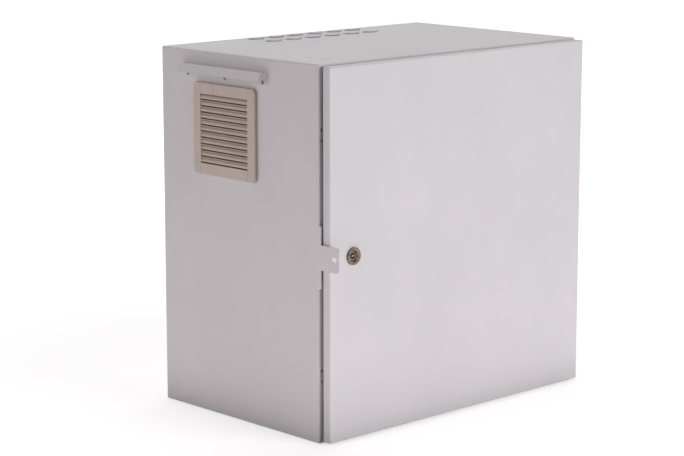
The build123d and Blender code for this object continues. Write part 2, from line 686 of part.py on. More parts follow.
def main():
    save("body_shell", body_shell())
    save("rear_panel", rear_panel())
    save("hasp_plate", hasp_plate())
    save("rain_hood", rain_hood())
    save("hood_rivets", [rivet(y, RIVET_Z) for y in rivet_places()])
    save("filter_seal", filter_seal())
    save("filter_housing", filter_housing())
    save("filter_mat", filter_mat())
    save("filter_cover", filter_cover())
    for name, height in zip(("lower", "upper"), HINGE_HEIGHTS):
        save(f"hinge_bracket_{name}", hinge_bracket(height))
        save(f"hinge_eye_{name}", hinge_eye(height))
        save(f"hinge_pin_{name}", hinge_pin(height))
    save("hinge_screws", [hinge_screw(place) for place in hinge_fixings()])
    plate = backing_plate()
    save("door_leaf", door_leaf())
    save("lock_backing_plate", plate)
    save("door_gasket", door_gasket(plate))
    save("door_stiffener_left", door_stiffener(-STIFFENER_X + 20))
    save("door_stiffener_right", door_stiffener(STIFFENER_X))
    save("door_earth_stud", door_earth_stud())
    save("door_earth_nut", door_earth_nut())
    save("lock_housing", lock_housing())
    save("lock_nut", lock_nut())
    save("lock_core", lock_core())
    save("lock_cam", lock_cam())
    save("cam_screw", cam_screw())
    save("mounting_plate", mounting_plate())
    save("plate_studs", plate_studs())
    save("plate_spacers", plate_spacers())
    save("plate_nuts", [plate_nut(x, z) for x, z in stud_places()])
    save("gland_plate", gland_plate())
    save("gland_gasket", gland_gasket())
    save("gland_studs", gland_studs())
    save("gland_nuts", gland_nuts())
    save("earth_stud", earth_stud())
    save("earth_nuts", [earth_nut(SHEET), earth_nut(SHEET + 6.0)])


main()
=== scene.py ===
# %% [markdown]
# # A roadside utility cabinet, dressed in Blender
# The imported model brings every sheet, hinge, lock part and fastener of the cabinet at its real size. This
# script never moves those solids. It gives each one a finish that is worked out by nodes, adds the small
# things that solids leave out (screw threads, set rivets, foam, weld marks), and sets up a plain studio.

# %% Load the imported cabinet
import math

import bmesh
import bpy
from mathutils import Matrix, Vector


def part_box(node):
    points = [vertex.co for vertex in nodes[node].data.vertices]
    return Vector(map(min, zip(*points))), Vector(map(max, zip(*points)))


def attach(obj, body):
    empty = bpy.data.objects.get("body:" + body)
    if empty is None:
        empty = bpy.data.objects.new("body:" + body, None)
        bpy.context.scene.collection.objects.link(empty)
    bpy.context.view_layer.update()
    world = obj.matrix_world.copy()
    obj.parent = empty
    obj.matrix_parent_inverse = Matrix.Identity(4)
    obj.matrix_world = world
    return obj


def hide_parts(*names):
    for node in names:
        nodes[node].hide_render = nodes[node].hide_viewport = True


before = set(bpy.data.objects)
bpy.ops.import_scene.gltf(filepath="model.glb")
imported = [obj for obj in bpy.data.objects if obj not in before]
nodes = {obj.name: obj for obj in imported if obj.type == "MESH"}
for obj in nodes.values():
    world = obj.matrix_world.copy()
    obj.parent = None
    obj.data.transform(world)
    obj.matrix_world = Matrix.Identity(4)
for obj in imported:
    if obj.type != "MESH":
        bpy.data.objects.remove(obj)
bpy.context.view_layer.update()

print("solids loaded:", len(nodes))

# %% [markdown]
# ## Sizes that the finishes and small parts share
# Everything is in metres. The origin is the middle of the base, X runs to the right, Y into the cabinet and
# Z up. A size that a solid already has is read from that solid, so the two can't drift apart.

# %% Shared sizes
MM = 0.001
shell_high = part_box("body_shell")[1]
door_low, door_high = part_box("door_leaf")
cover_low, cover_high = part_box("filter_cover")
lock_low, lock_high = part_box("lock_housing")
backing_low, backing_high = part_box("lock_backing_plate")

WALL_X = -0.300
ROOF_Z = 600 * MM
GRILLE_CENTRE = (cover_low + cover_high) / 2
LOCK_CENTRE = (lock_low + lock_high) / 2
print("door", [round(v, 4) for v in (door_high - door_low)], "lock at", [round(v, 4) for v in LOCK_CENTRE])

# %% [markdown]
# ## The camera
# The photograph looks at the left wall and the door from a little above. Its place came from a
# least-squares fit of the cabinet's straight edges, with no lens shift. A long lens from about 3.7 m away
# gives the same gentle perspective.

# %% Camera
IMAGE_WIDTH = 684
FOCAL_PIXELS = 2157.4
SENSOR_WIDTH = 36.0
CAMERA_PLACE = Vector((-2.5284, -2.5792, 0.9741))
CAMERA_YAW = math.radians(-43.506)
CAMERA_PITCH = math.radians(10.846)

camera_data = bpy.data.cameras.new("cabinet_camera")
camera_data.sensor_width = SENSOR_WIDTH
camera_data.lens = FOCAL_PIXELS / IMAGE_WIDTH * SENSOR_WIDTH
camera_data.clip_end = 60.0
camera = bpy.data.objects.new("cabinet_camera", camera_data)
bpy.context.scene.collection.objects.link(camera)
backwards = Vector((
    math.sin(CAMERA_YAW) * math.cos(CAMERA_PITCH),
    -math.cos(CAMERA_YAW) * math.cos(CAMERA_PITCH),
    math.sin(CAMERA_PITCH),
))
camera.rotation_euler = (-backwards).to_track_quat("-Z", "Y").to_euler()
camera.location = CAMERA_PLACE
bpy.context.scene.camera = camera
bpy.context.scene.view_settings.view_transform = "Standard"
print("lens", round(camera_data.lens, 1), "mm")

# %% [markdown]
# ## A small toolbox for finishes
# Every finish is a chain of texture nodes into one Principled shader. `add_node` makes one node of any tree,
# with its inputs linked or set. `Finish` starts a chain on Object coordinates, which stay with the piece when
# the door opens. A constant goes straight onto the shader's socket, and only what really changes over the
# surface comes in through a link.

# %% Adding and linking nodes
def plug(tree, value, socket):
    """Link a socket to an input, or set the input to a constant."""
    if isinstance(value, bpy.types.NodeSocket):
        tree.links.new(value, socket)
    else:
        socket.default_value = value


def add_node(tree, kind, links=None, **settings):
    """A new node with its settings made and its inputs linked or set."""
    node = tree.nodes.new(kind)
    for key, value in settings.items():
        setattr(node, key, value)
    for socket, value in (links or {}).items():
        plug(tree, value, node.inputs[socket])
    return node


# %% The finish toolbox
class Finish:
    """One node material, built step by step from Object coordinates."""

    def __init__(self, name, roughness=0.5, metallic=0.0, **constants):
        self.material = bpy.data.materials.new(name)
        self.material.use_nodes = True
        self.tree = self.material.node_tree
        self.tree.nodes.clear()
        self.output = self.tree.nodes.new("ShaderNodeOutputMaterial")
        self.shader = self.tree.nodes.new("ShaderNodeBsdfPrincipled")
        self.tree.links.new(self.shader.outputs[0], self.output.inputs[0])
        self.shader.inputs["Roughness"].default_value = roughness
        self.shader.inputs["Metallic"].default_value = metallic
        for socket, value in constants.items():
            self.shader.inputs[socket.replace("_", " ")].default_value = value
        self.coords = self.tree.nodes.new("ShaderNodeTexCoord").outputs["Object"]

    def add(self, kind, links=None, **settings):
        return add_node(self.tree, kind, links, **settings)

    def noise(self, scale, detail=2.0, rough=0.5, stretch=None, distortion=0.0):
        place = self.coords
        if stretch:
            place = self.add("ShaderNodeMapping", {"Vector": place, "Scale": stretch}).outputs[0]
        links = {"Vector": place, "Scale": scale, "Detail": detail}
        links.update({"Roughness": rough, "Distortion": distortion})
        return self.add("ShaderNodeTexNoise", links).outputs[0]

    def cells(self, scale, output=0):
        return self.add("ShaderNodeTexVoronoi", {"Vector": self.coords, "Scale": scale}).outputs[output]

    def axis(self, letter):
        return self.add("ShaderNodeSeparateXYZ", {0: self.coords}).outputs["XYZ".index(letter)]

    def calc(self, operation, a, b=0.0):
        return self.add("ShaderNodeMath", {0: a, 1: b}, operation=operation).outputs[0]

    def span(self, value, low, high, out_low=0.0, out_high=1.0, smooth=False):
        links = {"Value": value, "From Min": low, "From Max": high, "To Min": out_low, "To Max": out_high}
        shape = "SMOOTHSTEP" if smooth else "LINEAR"
        return self.add("ShaderNodeMapRange", links, interpolation_type=shape).outputs[0]

    def blend(self, factor, a, b):
        return self.add("ShaderNodeMix", {0: factor, 6: a, 7: b}, data_type="RGBA").outputs[2]

    def bump(self, height, distance, strength):
        links = {"Strength": strength, "Distance": distance, "Height": height}
        return self.add("ShaderNodeBump", links).outputs[0]

    def offset(self, letter, centre):
        return self.calc("SUBTRACT", self.axis(letter), centre)

    def distance(self, a, b):
        """Straight distance made up of two offsets."""
        squares = [self.calc("MULTIPLY", offset, offset) for offset in (a, b)]
        return self.calc("SQRT", self.calc("ADD", *squares))

    def inside(self, letter, low, high, soft):
        """1 between two planes across one axis, with soft edges."""
        rise = self.span(self.axis(letter), low - soft, low + soft, smooth=True)
        fall = self.span(self.axis(letter), high - soft, high + soft, 1.0, 0.0, smooth=True)
        return self.calc("MULTIPLY", rise, fall)

    def finish(self, colour=None, roughness=None, normal=None):
        for value, key in ((colour, "Base Color"), (roughness, "Roughness"), (normal, "Normal")):
            if value is not None:
                plug(self.tree, value, self.shader.inputs[key])
        return self.material


def rgb(r, g, b):
    """Colour from display values of 0 to 255."""
    linear = [v / 255 / 12.92 if v <= 10 else ((v / 255 + 0.055) / 1.055) ** 2.4 for v in (r, g, b)]
    return (*linear, 1.0)


# %% [markdown]
# ## Light grey powder coat
# The sheet is coated with a fine-textured light grey powder. An image of such a coat would repeat or
# stretch, so noise is used instead, at three scales that matter: the cloudy unevenness of the film over a
# hand's width, the orange peel of about 2 mm, and the fine grain under a millimetre. Dust settles on what
# faces up. One function makes the coat, and the door, the shell and the stiffeners add their own marks.

# %% Powder coat
COAT = (212, 208, 210)
COAT_DUST = (200, 196, 190)
COAT_BUMP = 0.09 * MM


def coat_shade(*change):
    """The coat's colour, made lighter or darker by a few display levels."""
    return rgb(*[level + step for level, step in zip(COAT, change)])


def powder_coat(name, marks=None):
    coat = Finish(name, roughness=0.5, IOR=1.47)
    cloud = coat.noise(5.0, 3.0, 0.55)
    drift = coat.noise(23.0, 2.0, 0.5, stretch=(1.0, 1.0, 0.35))
    grain = coat.noise(1500.0, 2.0, 0.6)
    peel = coat.noise(430.0, 2.0, 0.5)
    base = coat.blend(coat.span(cloud, 0.3, 0.7), coat_shade(-3, -3, -3), coat_shade(3, 3, 3))
    base = coat.blend(coat.span(drift, 0.35, 0.75, 0.0, 0.35), base, coat_shade(-6, -5, -4))
    base = coat.blend(coat.span(grain, 0.25, 0.75, 0.0, 0.22), base, coat_shade(-16, -16, -14))
    facing = coat.add("ShaderNodeSeparateXYZ", {0: coat.add("ShaderNodeNewGeometry").outputs["Normal"]})
    faces_up = coat.span(facing.outputs[2], 0.6, 1.0)
    settled = coat.span(coat.noise(60.0, 5.0, 0.7), 0.5, 0.8, 0.0, 0.3)
    base = coat.blend(coat.calc("MULTIPLY", faces_up, settled), base, rgb(*COAT_DUST))
    height = coat.calc("ADD", coat.calc("MULTIPLY", peel, 0.6), coat.calc("MULTIPLY", grain, 0.4))
    rough = coat.span(coat.noise(90.0, 3.0, 0.6), 0.3, 0.7, 0.44, 0.54)
    if marks:
        base, height = marks(coat, base, height)
    return coat.finish(base, rough, coat.bump(height, COAT_BUMP, 0.5))


# %% [markdown]
# ### What shows through the door's skin
# A plate is welded behind the lock, and its outline prints through the thin skin as a faint line. The bump
# raises the plate a little, and the line's darker colour is painted shade along its edge. The mask is the
# thin band where a box drawn in X and Z has its edge, so it needs no image.

# %% Door coat with the print-through
def door_marks(coat, base, height):
    line = 0.9 * MM
    across = coat.inside("X", WALL_X, backing_high.x, line)
    up = coat.inside("Z", backing_low.z, backing_high.z, line)
    plate = coat.calc("MULTIPLY", across, up)
    edge = coat.calc("MULTIPLY", coat.calc("MULTIPLY", plate, coat.calc("SUBTRACT", 1.0, plate)), 4.0)
    # the faint dark line along the plate's outline is painted shade of its step
    base = coat.blend(coat.calc("MULTIPLY", edge, 0.4), base, rgb(190, 187, 190))
    return base, coat.calc("ADD", height, coat.calc("MULTIPLY", plate, 0.5))


door_coat = powder_coat("door_powder_coat", door_marks)

# %% [markdown]
# ### Marks on the shell
# The roof carries two soft spots of painted shade near the left front corner, where the sheet is slightly
# wavy. They are round masks in X and Y that darken the coat a little. Each gill also has a thin gap under its
# lip, where the cut edge lies in shadow. The gap is under a millimetre high, so a band of painted shade at
# its height, across both rows of gills, stands for it.

# %% Shell coat with painted shade on the roof and under the gills
ROOF_SHADE_SPOTS = ((-0.242, -0.1335, 0.020), (-0.242, -0.0955, 0.014))
ROOF_SKIN_Z = (0.597, 0.599)
GILL_GAP_SHADE_Z = (0.60006, 0.60085)
GILLS_Y = (0.121, 0.181)


def shell_painted_shade(coat, base, height):
    for x, y, radius in ROOF_SHADE_SPOTS:
        # each spot darkens the roof's coat as painted shade of a wave in the sheet
        away = coat.distance(coat.offset("X", x), coat.offset("Y", y))
        spot = coat.span(away, 0.0, radius, 1.0, 0.0, smooth=True)
        spot = coat.calc("MULTIPLY", spot, coat.span(coat.axis("Z"), *ROOF_SKIN_Z))
        base = coat.blend(coat.calc("MULTIPLY", spot, 0.35), base, rgb(176, 171, 176))
    # a dark band of painted shade under the gill lips, standing for the shadow in their gap
    gap_shade = coat.calc("MULTIPLY", coat.inside("Z", *GILL_GAP_SHADE_Z, 0.03 * MM), coat.inside("Y", *GILLS_Y, 0.5 * MM))
    return coat.blend(gap_shade, base, rgb(74, 70, 72)), height


shell_coat = powder_coat("shell_powder_coat", shell_painted_shade)
trim_coat = powder_coat("trim_powder_coat")
print("door, shell and trim:", door_coat.name, shell_coat.name, trim_coat.name)

# %% [markdown]
# ### Weld dents on the stiffeners
# Each door stiffener is spot-welded down both of its flanges. A ping-pong wave along Z measures how far a
# point is from the nearest weld, so one round mask for each flange draws the whole row. The mask presses a
# shallow dent into the bump and darkens the coat a little there as painted shade.

# %% Stiffener coat with its weld dents
FLANGE_X = (-0.199, -0.161, 0.181, 0.219)
HALF_WELD_PITCH = 30 * MM
WELD_SHIFT = 10 * MM
DENT_INNER, DENT_OUTER = (1.8 * MM, 3.4 * MM)


def weld_dents_and_shade(coat, base, height):
    along = coat.calc("PINGPONG", coat.calc("ADD", coat.axis("Z"), WELD_SHIFT), HALF_WELD_PITCH)
    for x in FLANGE_X:
        away = coat.distance(coat.offset("X", x), along)
        spot = coat.span(away, DENT_INNER, DENT_OUTER, 1.0, 0.0, smooth=True)
        # the darker coat in each dent is painted shade
        base = coat.blend(coat.calc("MULTIPLY", spot, 0.3), base, rgb(182, 178, 180))
        height = coat.calc("SUBTRACT", height, coat.calc("MULTIPLY", spot, 2.5))
    return base, height


stiffener_coat = powder_coat("stiffener_powder_coat", weld_dents_and_shade)
print("stiffeners:", stiffener_coat.name)

# %% [markdown]
# ## Metal finishes
# Bright zinc on pressed steel is softly mottled, with fine drawing lines. Galvanised sheet has flat
# crystals, which Voronoi cells draw well. A metal mostly shows what it reflects, so its roughness varies too.

# %% Zinc and galvanised sheet
def bright_zinc():
    zinc = Finish("bright_zinc", roughness=0.35, metallic=1.0)
    mottle = zinc.noise(140.0, 4.0, 0.6)
    lines = zinc.noise(600.0, 2.0, 0.5, stretch=(1.0, 1.0, 0.08))
    base = zinc.blend(zinc.span(mottle, 0.35, 0.7), rgb(176, 180, 184), rgb(206, 208, 208))
    rough = zinc.span(mottle, 0.3, 0.7, 0.28, 0.44)
    return zinc.finish(base, rough, zinc.bump(lines, 0.00003, 0.4))


def galvanised_sheet():
    sheet = Finish("galvanised_sheet", roughness=0.4, metallic=1.0)
    shade = sheet.add("ShaderNodeRGBToBW", {0: sheet.cells(85.0, output=1)})
    haze = sheet.noise(9.0, 4.0, 0.6)
    flake = sheet.span(shade.outputs[0], 0.0, 1.0, 0.0, 0.7)
    base = sheet.blend(flake, rgb(158, 162, 166), rgb(200, 203, 205))
    base = sheet.blend(sheet.span(haze, 0.4, 0.75, 0.0, 0.35), base, rgb(150, 153, 155))
    rough = sheet.span(shade.outputs[0], 0.0, 1.0, 0.34, 0.5)
    return sheet.finish(base, rough, sheet.bump(sheet.noise(320.0, 2.0), 0.00003, 0.3))


zinc = bright_zinc()
galvanised = galvanised_sheet()
print("zinc and galvanised:", zinc.name, galvanised.name)

# %% [markdown]
# ### The lock and the rivets
# The lock is a nickel-plated casting, warmer than zinc and smooth but not perfect. Its base colour is made
# darker than the metal itself, as painted reflection of dark surroundings. The rivets are dull aluminium.
# Both are small in the picture, so their noise is fine: a coarse pattern would only tint them.

# %% Nickel casting and rivet metal
def nickel_casting():
    nickel = Finish("nickel_casting", roughness=0.24, metallic=1.0)
    cloud = nickel.noise(260.0, 4.0, 0.6)
    # the dark base colours are painted reflection of dark surroundings on the nickel
    base = nickel.blend(nickel.span(cloud, 0.35, 0.7), rgb(100, 87, 80), rgb(140, 127, 118))
    rough = nickel.span(nickel.noise(700.0, 3.0, 0.6), 0.3, 0.7, 0.12, 0.26)
    return nickel.finish(base, rough, nickel.bump(cloud, 0.00006, 0.5))


def rivet_metal():
    metal = Finish("rivet_aluminium", roughness=0.34, metallic=1.0)
    tone = metal.noise(900.0, 3.0, 0.6)
    base = metal.blend(metal.span(tone, 0.3, 0.7), rgb(98, 96, 98), rgb(142, 140, 142))
    return metal.finish(base, metal.span(tone, 0.3, 0.7, 0.28, 0.42), metal.bump(tone, 0.00004, 0.4))


nickel = nickel_casting()
aluminium = rivet_metal()
print("lock and rivets:", nickel.name, aluminium.name)

# %% [markdown]
# ## Plastic, foam and fibre
# The filter is moulded in a warm grey plastic with a fine spark-eroded texture, and its colour grows darker
# deep between its slats as painted shade. The door's strip is foamed in place, so its skin has bubbles. The
# mat is a web of fine fibres, and its outer face is coloured dark brown as painted shade in the slots. Both
# shades are a blend along X, from the outside inwards.

# %% Filter plastic, foam and fibre mat
SLAT_SHADE_X = (-0.3055, -0.3035)
MAT_SHADE_X = (-0.2996, -0.2985)


def moulded_plastic():
    plastic = Finish("filter_plastic", roughness=0.5, IOR=1.49)
    cloud = plastic.noise(30.0, 3.0, 0.6)
    spark = plastic.noise(2600.0, 2.0, 0.6)
    base = plastic.blend(plastic.span(cloud, 0.3, 0.7), rgb(190, 175, 166), rgb(199, 184, 174))
    base = plastic.blend(plastic.span(spark, 0.3, 0.7, 0.0, 0.2), base, rgb(176, 161, 151))
    # painted shade: the plastic grows darker the deeper it lies between the slats
    deep = plastic.span(plastic.axis("X"), *SLAT_SHADE_X, 0.0, 0.35, smooth=True)
    base = plastic.blend(deep, base, rgb(150, 134, 122))
    rough = plastic.span(plastic.noise(120.0, 3.0), 0.3, 0.7, 0.44, 0.58)
    return plastic.finish(base, rough, plastic.bump(spark, 0.00005, 0.5))


def poured_foam(name, dark, light):
    foam = Finish(name, roughness=0.85)
    bubbles = foam.cells(900.0)
    lumps = foam.noise(160.0, 4.0, 0.6)
    base = foam.blend(foam.span(lumps, 0.3, 0.7), rgb(*dark), rgb(*light))
    height = foam.calc("ADD", foam.calc("MULTIPLY", bubbles, 0.6), lumps)
    return foam.finish(base, foam.span(lumps, 0.3, 0.7, 0.75, 0.95), foam.bump(height, 0.0004, 0.6))


def fibre_web():
    fibre = Finish("fibre_web", roughness=0.95)
    strands = fibre.noise(420.0, 6.0, 0.75, distortion=2.0)
    tufts = fibre.noise(75.0, 3.0, 0.6)
    base = fibre.blend(fibre.span(strands, 0.35, 0.65), rgb(176, 176, 172), rgb(232, 232, 228))
    base = fibre.blend(fibre.span(tufts, 0.35, 0.75, 0.0, 0.4), base, rgb(186, 184, 176))
    # painted shade: the mat's outer face, seen through the slots, is coloured dark brown
    outer_face_shade = fibre.span(fibre.axis("X"), *MAT_SHADE_X, 0.92, 0.0, smooth=True)
    base = fibre.blend(outer_face_shade, base, rgb(92, 80, 70))
    return fibre.finish(base, fibre.span(strands, 0.3, 0.7, 0.9, 1.0), fibre.bump(strands, 0.0012, 0.8))


plastic = moulded_plastic()
foam = poured_foam("poured_foam", (44, 44, 46), (64, 64, 66))
seal_foam = poured_foam("grey_seal_foam", (118, 110, 106), (136, 128, 124))
fibre = fibre_web()
print("soft finishes:", plastic.name, foam.name, seal_foam.name, fibre.name)

# %% [markdown]
# ## Dressing the solids
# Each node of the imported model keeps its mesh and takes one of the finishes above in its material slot. One
# table says which finish goes where, so a solid that was forgotten shows up in the last line that is printed.

# %% Put each finish on its solids
FINISH_OF = {
    shell_coat: ["body_shell"],
    door_coat: ["door_leaf"],
    trim_coat: ["rear_panel", "hasp_plate", "rain_hood", "lock_backing_plate"],
    stiffener_coat: ["door_stiffener_left", "door_stiffener_right"],
    galvanised: ["mounting_plate", "gland_plate"],
    zinc: [
        "hinge_bracket_lower", "hinge_bracket_upper", "hinge_eye_lower", "hinge_eye_upper",
        "hinge_pin_lower", "hinge_pin_upper", "hinge_screws", "lock_nut", "lock_cam", "cam_screw",
        "plate_studs", "plate_spacers", "plate_nuts", "gland_studs", "gland_nuts", "earth_stud",
        "earth_nuts", "door_earth_stud", "door_earth_nut",
    ],
    nickel: ["lock_housing", "lock_core"],
    aluminium: ["hood_rivets"],
    plastic: ["filter_housing", "filter_cover"],
    foam: ["door_gasket", "gland_gasket"],
    seal_foam: ["filter_seal"],
    fibre: ["filter_mat"],
}
for material, names in FINISH_OF.items():
    for name in names:
        mesh = nodes[name].data
        mesh.materials.clear()
        mesh.materials.append(material)
dressed = {name for names in FINISH_OF.values() for name in names}
print("dressed", len(dressed), "of", len(nodes), "left:", sorted(set(nodes) - dressed))

# %% [markdown]
# ## Small parts that follow a rule
# Threads, nuts, rivets, slats and the foam bead all repeat a shape or follow a path, which is what Geometry
# Nodes are for. `Rule` starts a tree with named inputs. `grow` runs a tree on a few points or on a drawn
# section, keeps the result as a plain mesh, and deletes the object that carried the modifier.

# %% A toolbox for Geometry Nodes
SOCKETS = {float: "NodeSocketFloat", int: "NodeSocketInt", tuple: "NodeSocketVector"}
MERGE_WITHIN = 0.002 * MM


class Rule:
    """A Geometry Nodes tree whose sizes are named inputs."""

    def __init__(self, name, **sizes):
        self.group = bpy.data.node_groups.new(name, "GeometryNodeTree")
        sockets = self.group.interface
        sockets.new_socket("Geometry", in_out="INPUT", socket_type="NodeSocketGeometry")
        for label, value in sizes.items():
            sockets.new_socket(label, in_out="INPUT", socket_type=SOCKETS[type(value)]).default_value = value
        sockets.new_socket("Material", in_out="INPUT", socket_type="NodeSocketMaterial")
        sockets.new_socket("Geometry", in_out="OUTPUT", socket_type="NodeSocketGeometry")
        self.inputs = self.group.nodes.new("NodeGroupInput").outputs

    def add(self, kind, links=None, **settings):
        return add_node(self.group, kind, links, **settings)

    def calc(self, operation, a, b=0.0, c=0.0):
        return self.add("ShaderNodeMath", {0: a, 1: b, 2: c}, operation=operation).outputs[0]

    def finish(self, geometry):
        """End the tree in Realize Instances and Set Material."""
        real = self.add("GeometryNodeRealizeInstances", {"Geometry": geometry}).outputs[0]
        links = {"Geometry": real, "Material": self.inputs["Material"]}
        self.add("NodeGroupOutput", {0: self.add("GeometryNodeSetMaterial", links).outputs[0]})
        return self


def seed_mesh(name, points, faces=()):
    mesh = bpy.data.meshes.new(name)
    mesh.from_pydata([tuple(point) for point in points], (), faces)
    return mesh


def grow(rule, name, seed, material, **sizes):
    """Run a tree on a seed mesh and return its result as a plain mesh."""
    carrier = bpy.data.objects.new(name + "_carrier", seed)
    bpy.context.scene.collection.objects.link(carrier)
    modifier = carrier.modifiers.new("rule", "NODES")
    modifier.node_group = rule.group
    for item in rule.group.interface.items_tree:
        if item.in_out == "INPUT" and item.name in sizes:
            modifier[item.identifier] = sizes[item.name]
        if item.in_out == "INPUT" and item.name == "Material":
            modifier[item.identifier] = material
    result = bpy.data.meshes.new_from_object(carrier.evaluated_get(bpy.context.evaluated_depsgraph_get()))
    result.name = name
    carrier.modifiers.clear()
    bpy.data.objects.remove(carrier)
    return result


def place(mesh, name, body, slot, *stands_for):
    """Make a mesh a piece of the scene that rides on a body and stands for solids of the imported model."""
    piece = bpy.data.objects.new(name, mesh)
    bpy.context.scene.collection.objects.link(piece)
    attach(piece, body)
    if stands_for:
        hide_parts(*stands_for)
    low = [round(min(v.co[i] for v in mesh.vertices) / MM, 1) for i in range(3)]
    high = [round(max(v.co[i] for v in mesh.vertices) / MM, 1) for i in range(3)]
    print(name, len(mesh.polygons), "faces", low, high)
    return piece


# %% [markdown]
# ## Screw threads
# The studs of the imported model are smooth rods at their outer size. A thread is a helix, so no ring has to
# be modelled: a fine cylinder is taken, and each point is pulled in by a wave that runs round and along it
# together. Both ends are turned down by one pitch.

# %% The thread rule
ROWS_PER_TURN = 6.0
THREAD_SIDES = 24
THREAD_DEPTH = 0.55


def thread_rule():
    rule = Rule("screw_thread", Radius=4 * MM, Length=20 * MM, Pitch=1.25 * MM, Turn=(0.0, 0.0, 0.0))
    radius, length, pitch = rule.inputs["Radius"], rule.inputs["Length"], rule.inputs["Pitch"]
    turns = rule.calc("DIVIDE", length, pitch)
    rows = rule.add("FunctionNodeFloatToInt", {0: rule.calc("MULTIPLY", turns, ROWS_PER_TURN)})
    rod = rule.add(
        "GeometryNodeMeshCylinder",
        {"Vertices": THREAD_SIDES, "Side Segments": rows.outputs[0], "Radius": radius, "Depth": length},
    )
    here = rule.add("ShaderNodeSeparateXYZ", {0: rule.add("GeometryNodeInputPosition").outputs[0]})
    turn = rule.calc("DIVIDE", rule.calc("ARCTAN2", here.outputs[1], here.outputs[0]), 2 * math.pi)
    wave = rule.calc("FRACT", rule.calc("ADD", rule.calc("DIVIDE", here.outputs[2], pitch), turn))
    groove = rule.calc("ABSOLUTE", rule.calc("MULTIPLY_ADD", wave, 2.0, -1.0))
    cut = rule.calc("MULTIPLY", groove, rule.calc("MULTIPLY", pitch, THREAD_DEPTH))
    to_end = rule.calc("SUBTRACT", rule.calc("MULTIPLY", length, 0.5), rule.calc("ABSOLUTE", here.outputs[2]))
    cut = rule.calc("MAXIMUM", cut, rule.calc("SUBTRACT", pitch, to_end))
    keep = rule.calc("SUBTRACT", 1.0, rule.calc("DIVIDE", cut, radius))
    scale = rule.add("ShaderNodeCombineXYZ", {0: keep, 1: keep, 2: 1.0}).outputs[0]
    position = rule.add("GeometryNodeInputPosition").outputs[0]
    moved = rule.add("ShaderNodeVectorMath", {0: position, 1: scale}, operation="MULTIPLY").outputs[0]
    links = {"Geometry": rod.outputs["Mesh"], "Position": moved}
    cut_rod = rule.add("GeometryNodeSetPosition", links).outputs[0]
    turned = rule.add("FunctionNodeEulerToRotation", {0: rule.inputs["Turn"]}).outputs[0]
    links = {"Points": rule.inputs["Geometry"], "Instance": cut_rod, "Rotation": turned}
    return rule.finish(rule.add("GeometryNodeInstanceOnPoints", links).outputs[0])


def islands(name):
    """Middle and size of each separate solid of a node, from its loose triangles joined up."""
    shape = bmesh.new()
    shape.from_mesh(nodes[name].data)
    bmesh.ops.remove_doubles(shape, verts=shape.verts, dist=1e-6)
    waiting, middles = set(shape.verts), []
    while waiting:
        group, edge = set(), [waiting.pop()]
        while edge:
            vert = edge.pop()
            group.add(vert)
            for link in vert.link_edges:
                other = link.other_vert(vert)
                if other in waiting:
                    waiting.discard(other)
                    edge.append(other)
        low = Vector([min(v.co[i] for v in group) for i in range(3)])
        high = Vector([max(v.co[i] for v in group) for i in range(3)])
        middles.append(((low + high) / 2, high - low))
    shape.free()
    return sorted(middles, key=lambda item: tuple(round(v, 5) for v in item[0]))


# %% [markdown]
# ### The studs themselves
# A stud's place and size are read from its solid: the middle of each island of the mesh is a point to put a
# thread on. Only the pitch is given here, as the standard one for the stud's size.

# %% Threaded studs
THREAD = thread_rule()
ALONG_Y = (math.pi / 2, 0.0, 0.0)
ALONG_Z = (0.0, 0.0, 0.0)
STUDS = (
    ("plate_studs", "cabinet", 1, ALONG_Y, 1.25),
    ("gland_studs", "cabinet", 2, ALONG_Z, 0.8),
    ("earth_stud", "cabinet", 2, ALONG_Z, 1.25),
    ("door_earth_stud", "door", 1, ALONG_Y, 1.0),
)
for node, body, axis, turn, pitch in STUDS:
    found = islands(node)
    size = found[0][1]
    seed = seed_mesh(node, [middle for middle, _ in found])
    sizes = {"Radius": min(size) / 2, "Length": size[axis], "Pitch": pitch * MM, "Turn": turn}
    place(grow(THREAD, "threaded_" + node, seed, zinc, **sizes), "threaded_" + node, body, "zinc_steel", node)

# %% [markdown]
# ## Hexagon nuts
# A nut's corners are turned off at 30 degrees, which leaves a curved line on each flat. The rule wraps a
# grid into a ring. Each row of the grid has its own radius and height, and the outer rows follow the
# hexagon, so the curved line comes out of the sums.

